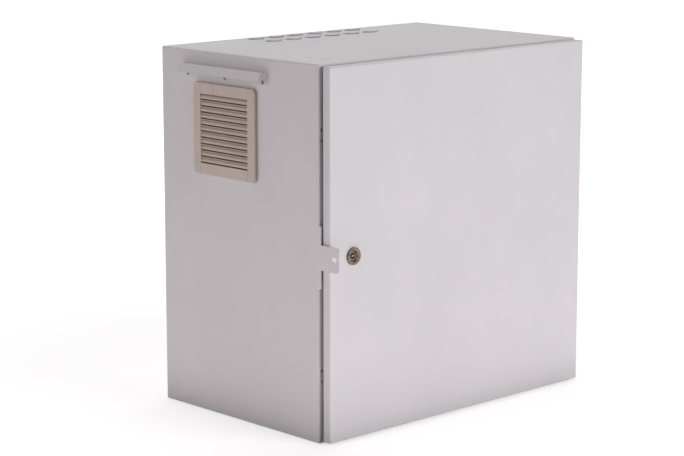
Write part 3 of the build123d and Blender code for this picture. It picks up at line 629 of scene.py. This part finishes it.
# %% Wrapping a grid into a turned shape, and the nut rule
def lathe(rule, rows_at, around):
    """Wrap a grid round the Z axis. rows_at(angle) lists the radius and the height of each row."""
    index = rule.add("GeometryNodeInputIndex").outputs[0]
    row = rule.calc("FLOOR", rule.calc("DIVIDE", rule.calc("ADD", index, 0.5), around))
    step = rule.calc("SUBTRACT", index, rule.calc("MULTIPLY", row, around))
    angle = rule.calc("MULTIPLY", step, 2 * math.pi / (around - 1))
    rows = rows_at(angle)
    links = {"Size X": 1.0, "Size Y": 1.0, "Vertices X": len(rows), "Vertices Y": around}
    grid = rule.add("GeometryNodeMeshGrid", links).outputs["Mesh"]
    picked = []
    for values in zip(*rows):
        switch = rule.add("GeometryNodeIndexSwitch", data_type="FLOAT")
        while len(switch.index_switch_items) < len(rows):
            switch.index_switch_items.new()
        plug(rule.group, rule.add("FunctionNodeFloatToInt", {0: row}).outputs[0], switch.inputs["Index"])
        for socket, value in zip(switch.inputs[1:], values):
            plug(rule.group, value, socket)
        picked.append(switch.outputs[0])
    x = rule.calc("MULTIPLY", picked[0], rule.calc("COSINE", angle))
    y = rule.calc("MULTIPLY", picked[0], rule.calc("SINE", angle))
    wrapped = rule.add("ShaderNodeCombineXYZ", {0: x, 1: y, 2: picked[1]}).outputs[0]
    ring = rule.add("GeometryNodeSetPosition", {"Geometry": grid, "Position": wrapped}).outputs[0]
    links = {"Geometry": ring, "Distance": MERGE_WITHIN}
    closed = rule.add("GeometryNodeMergeByDistance", links).outputs[0]
    turned = rule.add("FunctionNodeEulerToRotation", {0: rule.inputs["Turn"]}).outputs[0]
    links = {"Points": rule.inputs["Geometry"], "Instance": closed, "Rotation": turned}
    return rule.finish(rule.add("GeometryNodeInstanceOnPoints", links).outputs[0])


NUT_AROUND = 49
LEAD_IN = 0.12


def nut_rule():
    rule = Rule("hexagon_nut", Flats=13 * MM, Bore=4 * MM, Height=6 * MM, Turn=(0.0, 0.0, 0.0))
    bore, height = rule.inputs["Bore"], rule.inputs["Height"]
    flat = rule.calc("MULTIPLY", rule.inputs["Flats"], 0.5)
    lead = rule.calc("MULTIPLY", bore, LEAD_IN)
    wide = rule.calc("ADD", bore, lead)
    top = rule.calc("MULTIPLY", height, 0.5)
    low = rule.calc("MULTIPLY", height, -0.5)

    def rows_at(angle):
        corner = rule.calc("SUBTRACT", rule.calc("MODULO", angle, math.pi / 3), math.pi / 6)
        edge = rule.calc("DIVIDE", flat, rule.calc("COSINE", corner))
        drop = rule.calc("MULTIPLY", rule.calc("SUBTRACT", edge, flat), math.tan(math.radians(30)))
        under = [(bore, rule.calc("ADD", low, lead)), (wide, low), (flat, low)]
        under += [(edge, rule.calc("ADD", low, drop))]
        over = [(edge, rule.calc("SUBTRACT", top, drop)), (flat, top), (wide, top)]
        over += [(bore, rule.calc("SUBTRACT", top, lead))]
        return under + over + under[:1]

    return lathe(rule, rows_at, NUT_AROUND)


def outward(mesh):
    """Make the faces of a closed mesh point outwards."""
    shape = bmesh.new()
    shape.from_mesh(mesh)
    bmesh.ops.recalc_face_normals(shape, faces=shape.faces)
    loose = sum(1 for edge in shape.edges if len(edge.link_faces) != 2)
    shape.to_mesh(mesh)
    shape.free()
    print(mesh.name, "open edges", loose)
    return mesh


# %% [markdown]
# ### The nuts on their studs
# Again the middles and the heights come from the solids. The table adds the width across the flats and the
# radius of the bore in millimetres, the bore a hair wider than the thread.

# %% Nuts on their studs
NUT = nut_rule()
NUTS = (
    ("plate_nuts", "cabinet", 1, ALONG_Y, 13, 4.05),
    ("gland_nuts", "cabinet", 2, ALONG_Z, 8, 2.54),
    ("earth_nuts", "cabinet", 2, ALONG_Z, 13, 4.05),
    ("door_earth_nut", "door", 1, ALONG_Y, 10, 3.03),
    ("lock_nut", "door", 1, ALONG_Y, 27, 10.02),
)
for node, body, axis, turn, flats, bore in NUTS:
    found = islands(node)
    seed = seed_mesh(node, [middle for middle, _ in found])
    sizes = {"Flats": flats * MM, "Bore": bore * MM, "Height": found[0][1][axis], "Turn": turn}
    mesh = outward(grow(NUT, "chamfered_" + node, seed, zinc, **sizes))
    place(mesh, "chamfered_" + node, body, "zinc_steel", node)

# %% [markdown]
# ## Blind rivets of the hood
# A blind rivet is set by pulling a pin through it. What is left is a low dome with a hole in its middle,
# where the pin broke off. The same wrapped grid makes it, with a profile that starts and ends on the axis.

# %% The rivet rule and the three rivets
RIVET_RADIUS = 3.2 * MM
RIVET_CROWN = 1.5 * MM
RIVET_AROUND = 33
DOME = ((1.0, 0.0), (1.0, 0.22), (0.93, 0.52), (0.76, 0.82), (0.55, 0.98), (0.43, 1.0), (0.37, 0.9))
HOLE = ((0.34, 0.4),)
BROKEN_PIN = ((0.2, 0.42), (0.12, 0.56), (0.0, 0.6))


def rivet_rule():
    rule = Rule("blind_rivet", Radius=RIVET_RADIUS, Crown=RIVET_CROWN, Shank=6.7 * MM, Turn=(0.0, 0.0, 0.0))
    radius, crown, shank = rule.inputs["Radius"], rule.inputs["Crown"], rule.inputs["Shank"]

    def share(socket, part):
        return rule.calc("MULTIPLY", socket, part)

    bottom, shank_radius = share(shank, -1.0), share(radius, 0.5)
    rows = [(0.0, bottom), (shank_radius, bottom), (shank_radius, 0.0)]
    rows += [(share(radius, out), share(crown, up)) for out, up in DOME + HOLE + BROKEN_PIN]
    return lathe(rule, lambda angle: rows, RIVET_AROUND)


hood_low, hood_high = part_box("hood_rivets")
seats = [(hood_low.x + RIVET_CROWN, middle.y, middle.z) for middle, _ in islands("hood_rivets")]
sizes = {
    "Radius": RIVET_RADIUS, "Crown": RIVET_CROWN, "Shank": hood_high.x - hood_low.x - RIVET_CROWN,
    "Turn": (0.0, -math.pi / 2, 0.0),
}
rivets = outward(grow(rivet_rule(), "pulled_rivets", seed_mesh("rivet_seats", seats), aluminium, **sizes))
place(rivets, "pulled_rivets", "cabinet", "rivet_aluminium", "hood_rivets")

# %% [markdown]
# ## The lips of the roof gills
# Each gill is a half-moon cut in the roof and pressed up. Seen from the side it is a level lip with a thin
# dark gap that runs all round its arc; the dark in the gap is painted shade on the shell. The solids have
# the gill's place, size and height. The lip lies over them and gives the arc its even edge: one half-moon
# plate with a short ramp at its chord, set out on a grid by a rule.

# %% The gill lip and its grid
GILL_HALF = 19.4 * MM
GILL_DEPTH = 12.15 * MM
GILL_RAMP = 4.0 * MM
GILL_GAP = 0.7 * MM
ROOF_UNDERSIDE = ROOF_Z - 1.2 * MM
SHORTEST_REACH = 0.05 * MM
GILL_GRID = {"Columns": 6, "Rows": 2, "Across": 226.5 * MM, "Back": 45 * MM}


def gill_lip(steps=24):
    rise = shell_high.z - ROOF_Z
    curve = (GILL_HALF ** 2 + GILL_DEPTH ** 2) / (2 * GILL_DEPTH)
    columns = []
    for i in range(steps + 1):
        x = -GILL_HALF + 2 * GILL_HALF * i / steps
        reach = max(math.sqrt(curve ** 2 - x ** 2) - (curve - GILL_DEPTH), SHORTEST_REACH)
        bend = min(reach * 0.98, GILL_RAMP)
        line = [(0.0, 0.0), (bend, rise * bend / GILL_RAMP)]
        line += [(reach, rise * min(reach, GILL_RAMP) / GILL_RAMP)]
        over = [(x, -along, ROOF_Z + up) for along, up in line]
        under = [(x, -along, max(ROOF_Z + up - (rise - GILL_GAP), ROOF_UNDERSIDE)) for along, up in line]
        columns.append(over + under[::-1])
    size = len(columns[0])
    points = [point for column in columns for point in column]
    faces = [
        (i * size + j, i * size + (j + 1) % size, (i + 1) * size + (j + 1) % size, (i + 1) * size + j)
        for i in range(steps) for j in range(size)
    ]
    faces += [tuple(range(size)), tuple(steps * size + j for j in range(size))]
    return outward(seed_mesh("gill_lip", points, faces))


def gill_rule():
    rule = Rule("gill_rows", Middle=0.157, **GILL_GRID)
    links = {
        "Size X": rule.inputs["Across"], "Size Y": rule.inputs["Back"],
        "Vertices X": rule.inputs["Columns"], "Vertices Y": rule.inputs["Rows"],
    }
    grid = rule.add("GeometryNodeMeshGrid", links).outputs["Mesh"]
    offset = rule.add("ShaderNodeCombineXYZ", {1: rule.inputs["Middle"]}).outputs[0]
    moved = rule.add("GeometryNodeSetPosition", {"Geometry": grid, "Offset": offset}).outputs[0]
    links = {"Points": moved, "Instance": rule.inputs["Geometry"]}
    return rule.finish(rule.add("GeometryNodeInstanceOnPoints", links).outputs[0])


lips = grow(gill_rule(), "gill_lips", gill_lip(), trim_coat, **GILL_GRID)
place(lips, "gill_lips", "cabinet", "powder_coat")

# %% [markdown]
# ## The louvred filter cover
# Seen close, each slat of the cover is two things: a thin bar level with the frame, and below it a hollow
# blade that starts deep behind the bar, swells outwards and turns under above the next slot. The dark lines
# of the grille are the groove under each bar and the slot under each blade, deepened by painted shade on the
# plastic and the mat. The frame is a stack of rounded rectangles joined into one closed skin. The rows are
# one drawn section each, pushed out to its length and repeated downwards.

# %% Closed skins made of rounded rectangles
def rounded_loop(half_w, half_h, radius, bend=6, spacing=None):
    """Points of a rounded rectangle round the origin. A spacing adds points along its sides."""
    points = []
    for quarter in range(4):
        side_x = 1 if quarter in (0, 3) else -1
        side_y = 1 if quarter in (0, 1) else -1
        for i in range(bend + 1):
            angle = math.pi / 2 * (quarter + i / bend)
            x = side_x * (half_w - radius) + radius * math.cos(angle)
            y = side_y * (half_h - radius) + radius * math.sin(angle)
            points.append(Vector((x, y)))
        if spacing:
            length = 2 * (half_w if quarter % 2 == 0 else half_h) - 2 * radius
            direction = Vector(((-1, 0), (0, -1), (1, 0), (0, 1))[quarter])
            count = spacing[quarter % 2]
            last = points[-1].copy()
            points += [last + direction * length * (i + 1) / (count + 1) for i in range(count)]
    return points


def skin_of_loops(name, loops):
    """Join loops of equal length one after another, and the last to the first."""
    size = len(loops[0])
    points = [point for loop in loops for point in loop]
    faces = []
    for ring in range(len(loops)):
        here, there = ring * size, (ring + 1) % len(loops) * size
        for i in range(size):
            j = (i + 1) % size
            faces.append((here + i, here + j, there + j, there + i))
    return seed_mesh(name, points, faces)


# %% [markdown]
# ### The frame and its score lines
# The frame is one closed skin, so its edges can be rounded loop by loop. The fine lines that carry the
# edges of the opening on across it are cut with thin boxes, which leaves true grooves that catch the light.

# %% The frame of the cover, with its score lines
FRAME_HALF = 75 * MM
OPENING_HALF = (57.5 * MM, 56.65 * MM)
CORNER_MM = 7.0
MOUTH_MM = 0.8
FACE_X = cover_low.x
BASE_X = -303 * MM
COVER_Y = GRILLE_CENTRE.y
COVER_Z = GRILLE_CENTRE.z


def cover_frame():
    outer, (open_y, open_z) = FRAME_HALF, OPENING_HALF
    steps = (
        (BASE_X, outer, outer, CORNER_MM),
        (FACE_X + 1.0 * MM, outer, outer, CORNER_MM),
        (FACE_X + 0.3 * MM, outer - 0.3 * MM, outer - 0.3 * MM, CORNER_MM - 0.3),
        (FACE_X, outer - 1.0 * MM, outer - 1.0 * MM, CORNER_MM - 1.0),
        (FACE_X, open_y + 0.35 * MM, open_z + 0.35 * MM, MOUTH_MM + 0.4),
        (FACE_X + 0.35 * MM, open_y, open_z, MOUTH_MM),
        (BASE_X, open_y, open_z, MOUTH_MM),
    )
    loops = []
    for x, half_y, half_z, radius in steps:
        loops.append([(x, COVER_Y + p.x, COVER_Z + p.y) for p in rounded_loop(half_y, half_z, radius * MM)])
    return outward(skin_of_loops("cover_frame", loops))


def score_boxes():
    """Thin boxes that cut the lines which carry the opening's edges on across the frame."""
    rim, reach = (9.0 * MM, 66.9 * MM)
    thin, deep = (0.25 * MM, 0.32 * MM)
    extra_line = 24.2 * MM
    places = [(extra_line, reach, thin, rim)]
    for side in (-1, 1):
        for end in (-1, 1):
            places.append((side * OPENING_HALF[0], end * reach, thin, rim))
            places.append((end * reach, side * OPENING_HALF[1], rim, thin))
    shape = bmesh.new()
    for y, z, half_y, half_z in places:
        box = bmesh.ops.create_cube(shape, size=2.0)["verts"]
        bmesh.ops.scale(shape, verts=box, vec=(deep, half_y, half_z))
        bmesh.ops.translate(shape, verts=box, vec=(FACE_X, COVER_Y + y, COVER_Z + z))
    mesh = bpy.data.meshes.new("score_boxes")
    shape.to_mesh(mesh)
    shape.free()
    return mesh


def cut_away(mesh, cutter_mesh):
    """Mesh with the cutter's boxes taken out of it."""
    body = bpy.data.objects.new("cut_body", mesh)
    cutter = bpy.data.objects.new("cutter", cutter_mesh)
    for each in (body, cutter):
        bpy.context.scene.collection.objects.link(each)
    cut = body.modifiers.new("cut", "BOOLEAN")
    cut.operation = "DIFFERENCE"
    cut.solver = "EXACT"
    cut.object = cutter
    result = bpy.data.meshes.new_from_object(body.evaluated_get(bpy.context.evaluated_depsgraph_get()))
    for each in (body, cutter):
        bpy.data.objects.remove(each)
    return result


# %% [markdown]
# ### The bars and the blades
# One rule serves both: it pushes a drawn section out to the slat's length, closes the near end with the
# section turned over, and repeats the slat downwards. The near end has to be turned over to face outwards.

# %% The louvre rule, its bars and its blades
def louvre_rule():
    rule = Rule("louvre_row", Width=116 * MM, Pitch=10.3 * MM, Count=11)
    section = rule.inputs["Geometry"]
    along = rule.add("ShaderNodeCombineXYZ", {1: rule.inputs["Width"]}).outputs[0]
    links = {"Mesh": section, "Offset": along, "Offset Scale": 1.0}
    pushed = rule.add("GeometryNodeExtrudeMesh", links, mode="FACES")
    pushed.inputs["Individual"].default_value = False
    start = rule.add("GeometryNodeFlipFaces", {"Mesh": section}).outputs[0]
    both = rule.add("GeometryNodeJoinGeometry", {0: pushed.outputs["Mesh"]})
    plug(rule.group, start, both.inputs[0])
    links = {"Geometry": both.outputs[0], "Distance": MERGE_WITHIN}
    slat = rule.add("GeometryNodeMergeByDistance", links).outputs[0]
    down = rule.add("ShaderNodeCombineXYZ", {2: rule.calc("MULTIPLY", rule.inputs["Pitch"], -1.0)}).outputs[0]
    row = rule.add("GeometryNodeMeshLine", {"Count": rule.inputs["Count"], "Offset": down}).outputs[0]
    return rule.finish(rule.add("GeometryNodeInstanceOnPoints", {"Points": row, "Instance": slat}).outputs[0])


def section_strip(name, outer, inner, drop):
    """Faces between two lines of (depth, height) in millimetres, drawn on the cover's face."""
    half = OPENING_HALF[0] + 0.5 * MM
    top = COVER_Z + OPENING_HALF[1] - drop
    points = [(FACE_X + d * MM, COVER_Y - half, top + h * MM) for d, h in outer + inner]
    size = len(outer)
    faces = [(i, i + 1, size + i + 1, size + i) for i in range(size - 1)]
    return seed_mesh(name, points, faces)


SLAT_COUNT = 11
SLAT_PITCH = 2 * OPENING_HALF[1] / SLAT_COUNT
BLADE_OUTER = [(4.6, -0.9), (3.4, -2.0), (2.3, -3.1), (1.5, -4.4), (1.05, -5.8), (1.0, -7.1), (1.5, -8.3)]
BLADE_INNER = [(5.6, -1.4), (4.5, -2.8), (3.5, -3.8), (2.7, -4.9), (2.25, -6.0), (2.2, -7.0), (2.6, -7.9)]
BAR_OUTER = [(0.0, -0.15), (0.0, -1.25)]
BAR_INNER = [(2.0, 0.0), (2.0, -1.4)]
LOUVRE = louvre_rule()
sizes = {"Width": 2 * OPENING_HALF[0] + 1 * MM, "Pitch": SLAT_PITCH}
blade = section_strip("blade", BLADE_OUTER, BLADE_INNER, 0)
bar = section_strip("bar", BAR_OUTER, BAR_INNER, SLAT_PITCH)
blades = grow(LOUVRE, "blades", blade, plastic, Count=SLAT_COUNT, **sizes)
bars = grow(LOUVRE, "bars", bar, plastic, Count=SLAT_COUNT - 1, **sizes)


def joined(name, meshes, material):
    """One mesh with one material from several."""
    shape = bmesh.new()
    for mesh in meshes:
        shape.from_mesh(mesh)
    mesh = bpy.data.meshes.new(name)
    for face in shape.faces:
        face.material_index = 0
    shape.to_mesh(mesh)
    shape.free()
    mesh.materials.append(material)
    return mesh


frame_mesh = cut_away(cover_frame(), score_boxes())
cover = joined("louvred_cover", [frame_mesh, outward(blades), outward(bars)], plastic)
place(cover, "louvred_cover", "cabinet", "beige_plastic", "filter_cover")

# %% [markdown]
# ## The foamed seal of the door
# The seal is poured as a bead and foams up on the door, so its top is round and slightly uneven. It is made
# of a row of rounded rectangles, and a rule moves its skin, mostly inwards, by a little noise with a fixed
# seed.

# %% The foam bead
FOAM_DEPTH = 0.5 * MM
INWARD_SHARE = 0.8
BEAD_CORNER = 15 * MM
BEAD_STEPS = 130


def foam_rule():
    rule = Rule("foam_skin", Depth=FOAM_DEPTH, Size=160.0, Seed=3.0)
    here = rule.add("GeometryNodeInputPosition").outputs[0]
    links = {"Vector": here, "W": rule.inputs["Seed"], "Scale": rule.inputs["Size"]}
    noise = rule.add("ShaderNodeTexNoise", links, noise_dimensions="4D").outputs[0]
    amount = rule.calc("MULTIPLY", rule.calc("SUBTRACT", noise, INWARD_SHARE), rule.inputs["Depth"])
    normal = rule.add("GeometryNodeInputNormal").outputs[0]
    offset = rule.add("ShaderNodeVectorMath", {0: normal, "Scale": amount}, operation="SCALE").outputs[0]
    links = {"Geometry": rule.inputs["Geometry"], "Offset": offset}
    return rule.finish(rule.add("GeometryNodeSetPosition", links).outputs[0])


def foam_bead():
    low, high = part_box("door_gasket")
    half_w, half_h = (high.x - low.x) / 2, (high.z - low.z) / 2
    middle_z = (low.z + high.z) / 2
    depth = high.y - low.y
    section = [(0.0, 0.0), (0.0, 0.45), (0.5, 0.72), (1.5, 0.9), (3.3, 0.98), (6.0, 1.0)]
    section += [(12.0 - inset, up) for inset, up in reversed(section[:-1])]
    loops = []
    for inset, up in section:
        step = inset * MM
        loop = rounded_loop(half_w - step, half_h - step, BEAD_CORNER - step, 8, (BEAD_STEPS, BEAD_STEPS))
        loops.append([(p.x, low.y + up * depth, middle_z + p.y) for p in loop])
    return outward(skin_of_loops("foam_bead", loops))


bead = grow(foam_rule(), "foamed_door_seal", foam_bead(), foam, Depth=FOAM_DEPTH)
place(bead, "foamed_door_seal", "door", "foam", "door_gasket")

# %% [markdown]
# ## The studio
# The cabinet stands on a plain pale floor that turns white with distance, under large soft lamps. What
# makes the floor white is a glow that only camera, mirror and glass rays see, so it adds no light to the
# cabinet, and the shadow stays on it. Three lamps are above: one for the door from its hinge side, one for
# the wall from above and behind, one for the roof. Two weak ones lie on the floor and face up, as light
# thrown back by a white floor does. They are set so that the coat comes out as bright as it is written.

# %% Floor and backdrop
GLOW_NEAR = 0.52
GLOW_FAR = 1.0
FADE_FROM = 0.5
FADE_TO = 2.2
FLOOR_COLOUR = (0.86, 0.855, 0.85, 1)
FLOOR_HALF = 14.0
FLOOR_Z = -0.5 * MM


def seen_directly(tree):
    """A socket that is 1 for rays from the camera, from a mirror-like surface or through glass."""
    path = add_node(tree, "ShaderNodeLightPath").outputs
    total = path["Is Camera Ray"]
    for name in ("Is Glossy Ray", "Is Transmission Ray"):
        total = add_node(tree, "ShaderNodeMath", {0: total, 1: path[name]}, operation="MAXIMUM").outputs[0]
    return total


def studio_white():
    white = bpy.data.materials.new("studio_white")
    white.use_nodes = True
    tree = white.node_tree
    tree.nodes.clear()
    place = add_node(tree, "ShaderNodeTexCoord").outputs["Object"]
    reach = add_node(tree, "ShaderNodeVectorMath", {0: place}, operation="LENGTH").outputs["Value"]
    span = {"From Min": FADE_FROM, "From Max": FADE_TO, "To Min": GLOW_NEAR, "To Max": GLOW_FAR}
    span["Value"] = reach
    fade = add_node(tree, "ShaderNodeMapRange", span, interpolation_type="SMOOTHSTEP").outputs[0]
    factors = {0: seen_directly(tree), 1: fade}
    strength = add_node(tree, "ShaderNodeMath", factors, operation="MULTIPLY").outputs[0]
    glow = add_node(tree, "ShaderNodeEmission", {"Strength": strength}).outputs[0]
    diffuse = add_node(tree, "ShaderNodeBsdfDiffuse", {0: FLOOR_COLOUR}).outputs[0]
    both = add_node(tree, "ShaderNodeAddShader", {0: diffuse, 1: glow}).outputs[0]
    add_node(tree, "ShaderNodeOutputMaterial", {0: both})
    return white


def studio_floor(half=FLOOR_HALF):
    corners = [(-half, -half, FLOOR_Z), (half, -half, FLOOR_Z), (half, half, FLOOR_Z), (-half, half, FLOOR_Z)]
    floor = bpy.data.objects.new("studio_floor", seed_mesh("studio_floor", corners, [(0, 1, 2, 3)]))
    floor.data.materials.append(studio_white())
    bpy.context.scene.collection.objects.link(floor)
    return floor


print("floor:", studio_floor().name)

# %% [markdown]
# ### World and lamps
# The world is a dim, even light for the cabinet, and plain white for the rays that look at it directly.
# Every lamp is a rectangle of one to two and a half metres, because a large lamp has a soft shadow, and
# none is seen by the camera.

# %% World and lamps
WORLD_LIGHT = 0.14
WORLD_COLOUR = (0.95, 0.95, 0.96, 1)


def soft_lamp(name, place, target, size, power, colour):
    lamp = bpy.data.lights.new(name, "AREA")
    lamp.shape = "RECTANGLE"
    lamp.size, lamp.size_y = size
    lamp.energy = power
    lamp.color = colour
    holder = bpy.data.objects.new(name, lamp)
    holder.location = place
    holder.rotation_euler = (Vector(target) - Vector(place)).to_track_quat("-Z", "Y").to_euler()
    holder.visible_camera = False
    bpy.context.scene.collection.objects.link(holder)
    return holder


def studio_world():
    world = bpy.data.worlds.new("studio")
    world.use_nodes = True
    sky = world.node_tree
    sky.nodes.clear()
    light = add_node(sky, "ShaderNodeBackground", {0: WORLD_COLOUR, 1: WORLD_LIGHT}).outputs[0]
    white = add_node(sky, "ShaderNodeBackground", {0: (1, 1, 1, 1)}).outputs[0]
    pick = add_node(sky, "ShaderNodeMixShader", {0: seen_directly(sky), 1: light, 2: white}).outputs[0]
    add_node(sky, "ShaderNodeOutputWorld", {0: pick})
    return world


bpy.context.scene.world = studio_world()
CABINET_MIDDLE = (0.0, 0.0, 0.3)
LAMPS = (
    ("door_lamp", (1.0, -3.5, 1.1), CABINET_MIDDLE, (2.0, 1.6), 67, (1.0, 0.985, 0.995)),
    ("wall_lamp", (-2.9, 0.5, 1.3), CABINET_MIDDLE, (1.6, 1.2), 18.5, (1.0, 0.95, 0.95)),
    ("roof_lamp", (0.6, 0.8, 3.4), CABINET_MIDDLE, (2.6, 2.6), 44, (1.0, 0.98, 1.0)),
    ("left_floor_bounce", (-0.8, -0.1, 0.004), (-0.8, -0.1, 1.0), (0.9, 1.8), 2.4, (1.0, 0.97, 0.97)),
    ("front_floor_bounce", (0.0, -0.8, 0.004), (0.0, -0.8, 1.0), (1.6, 1.1), 2.6, (1.0, 0.98, 0.99)),
)
for lamp in LAMPS:
    soft_lamp(*lamp)
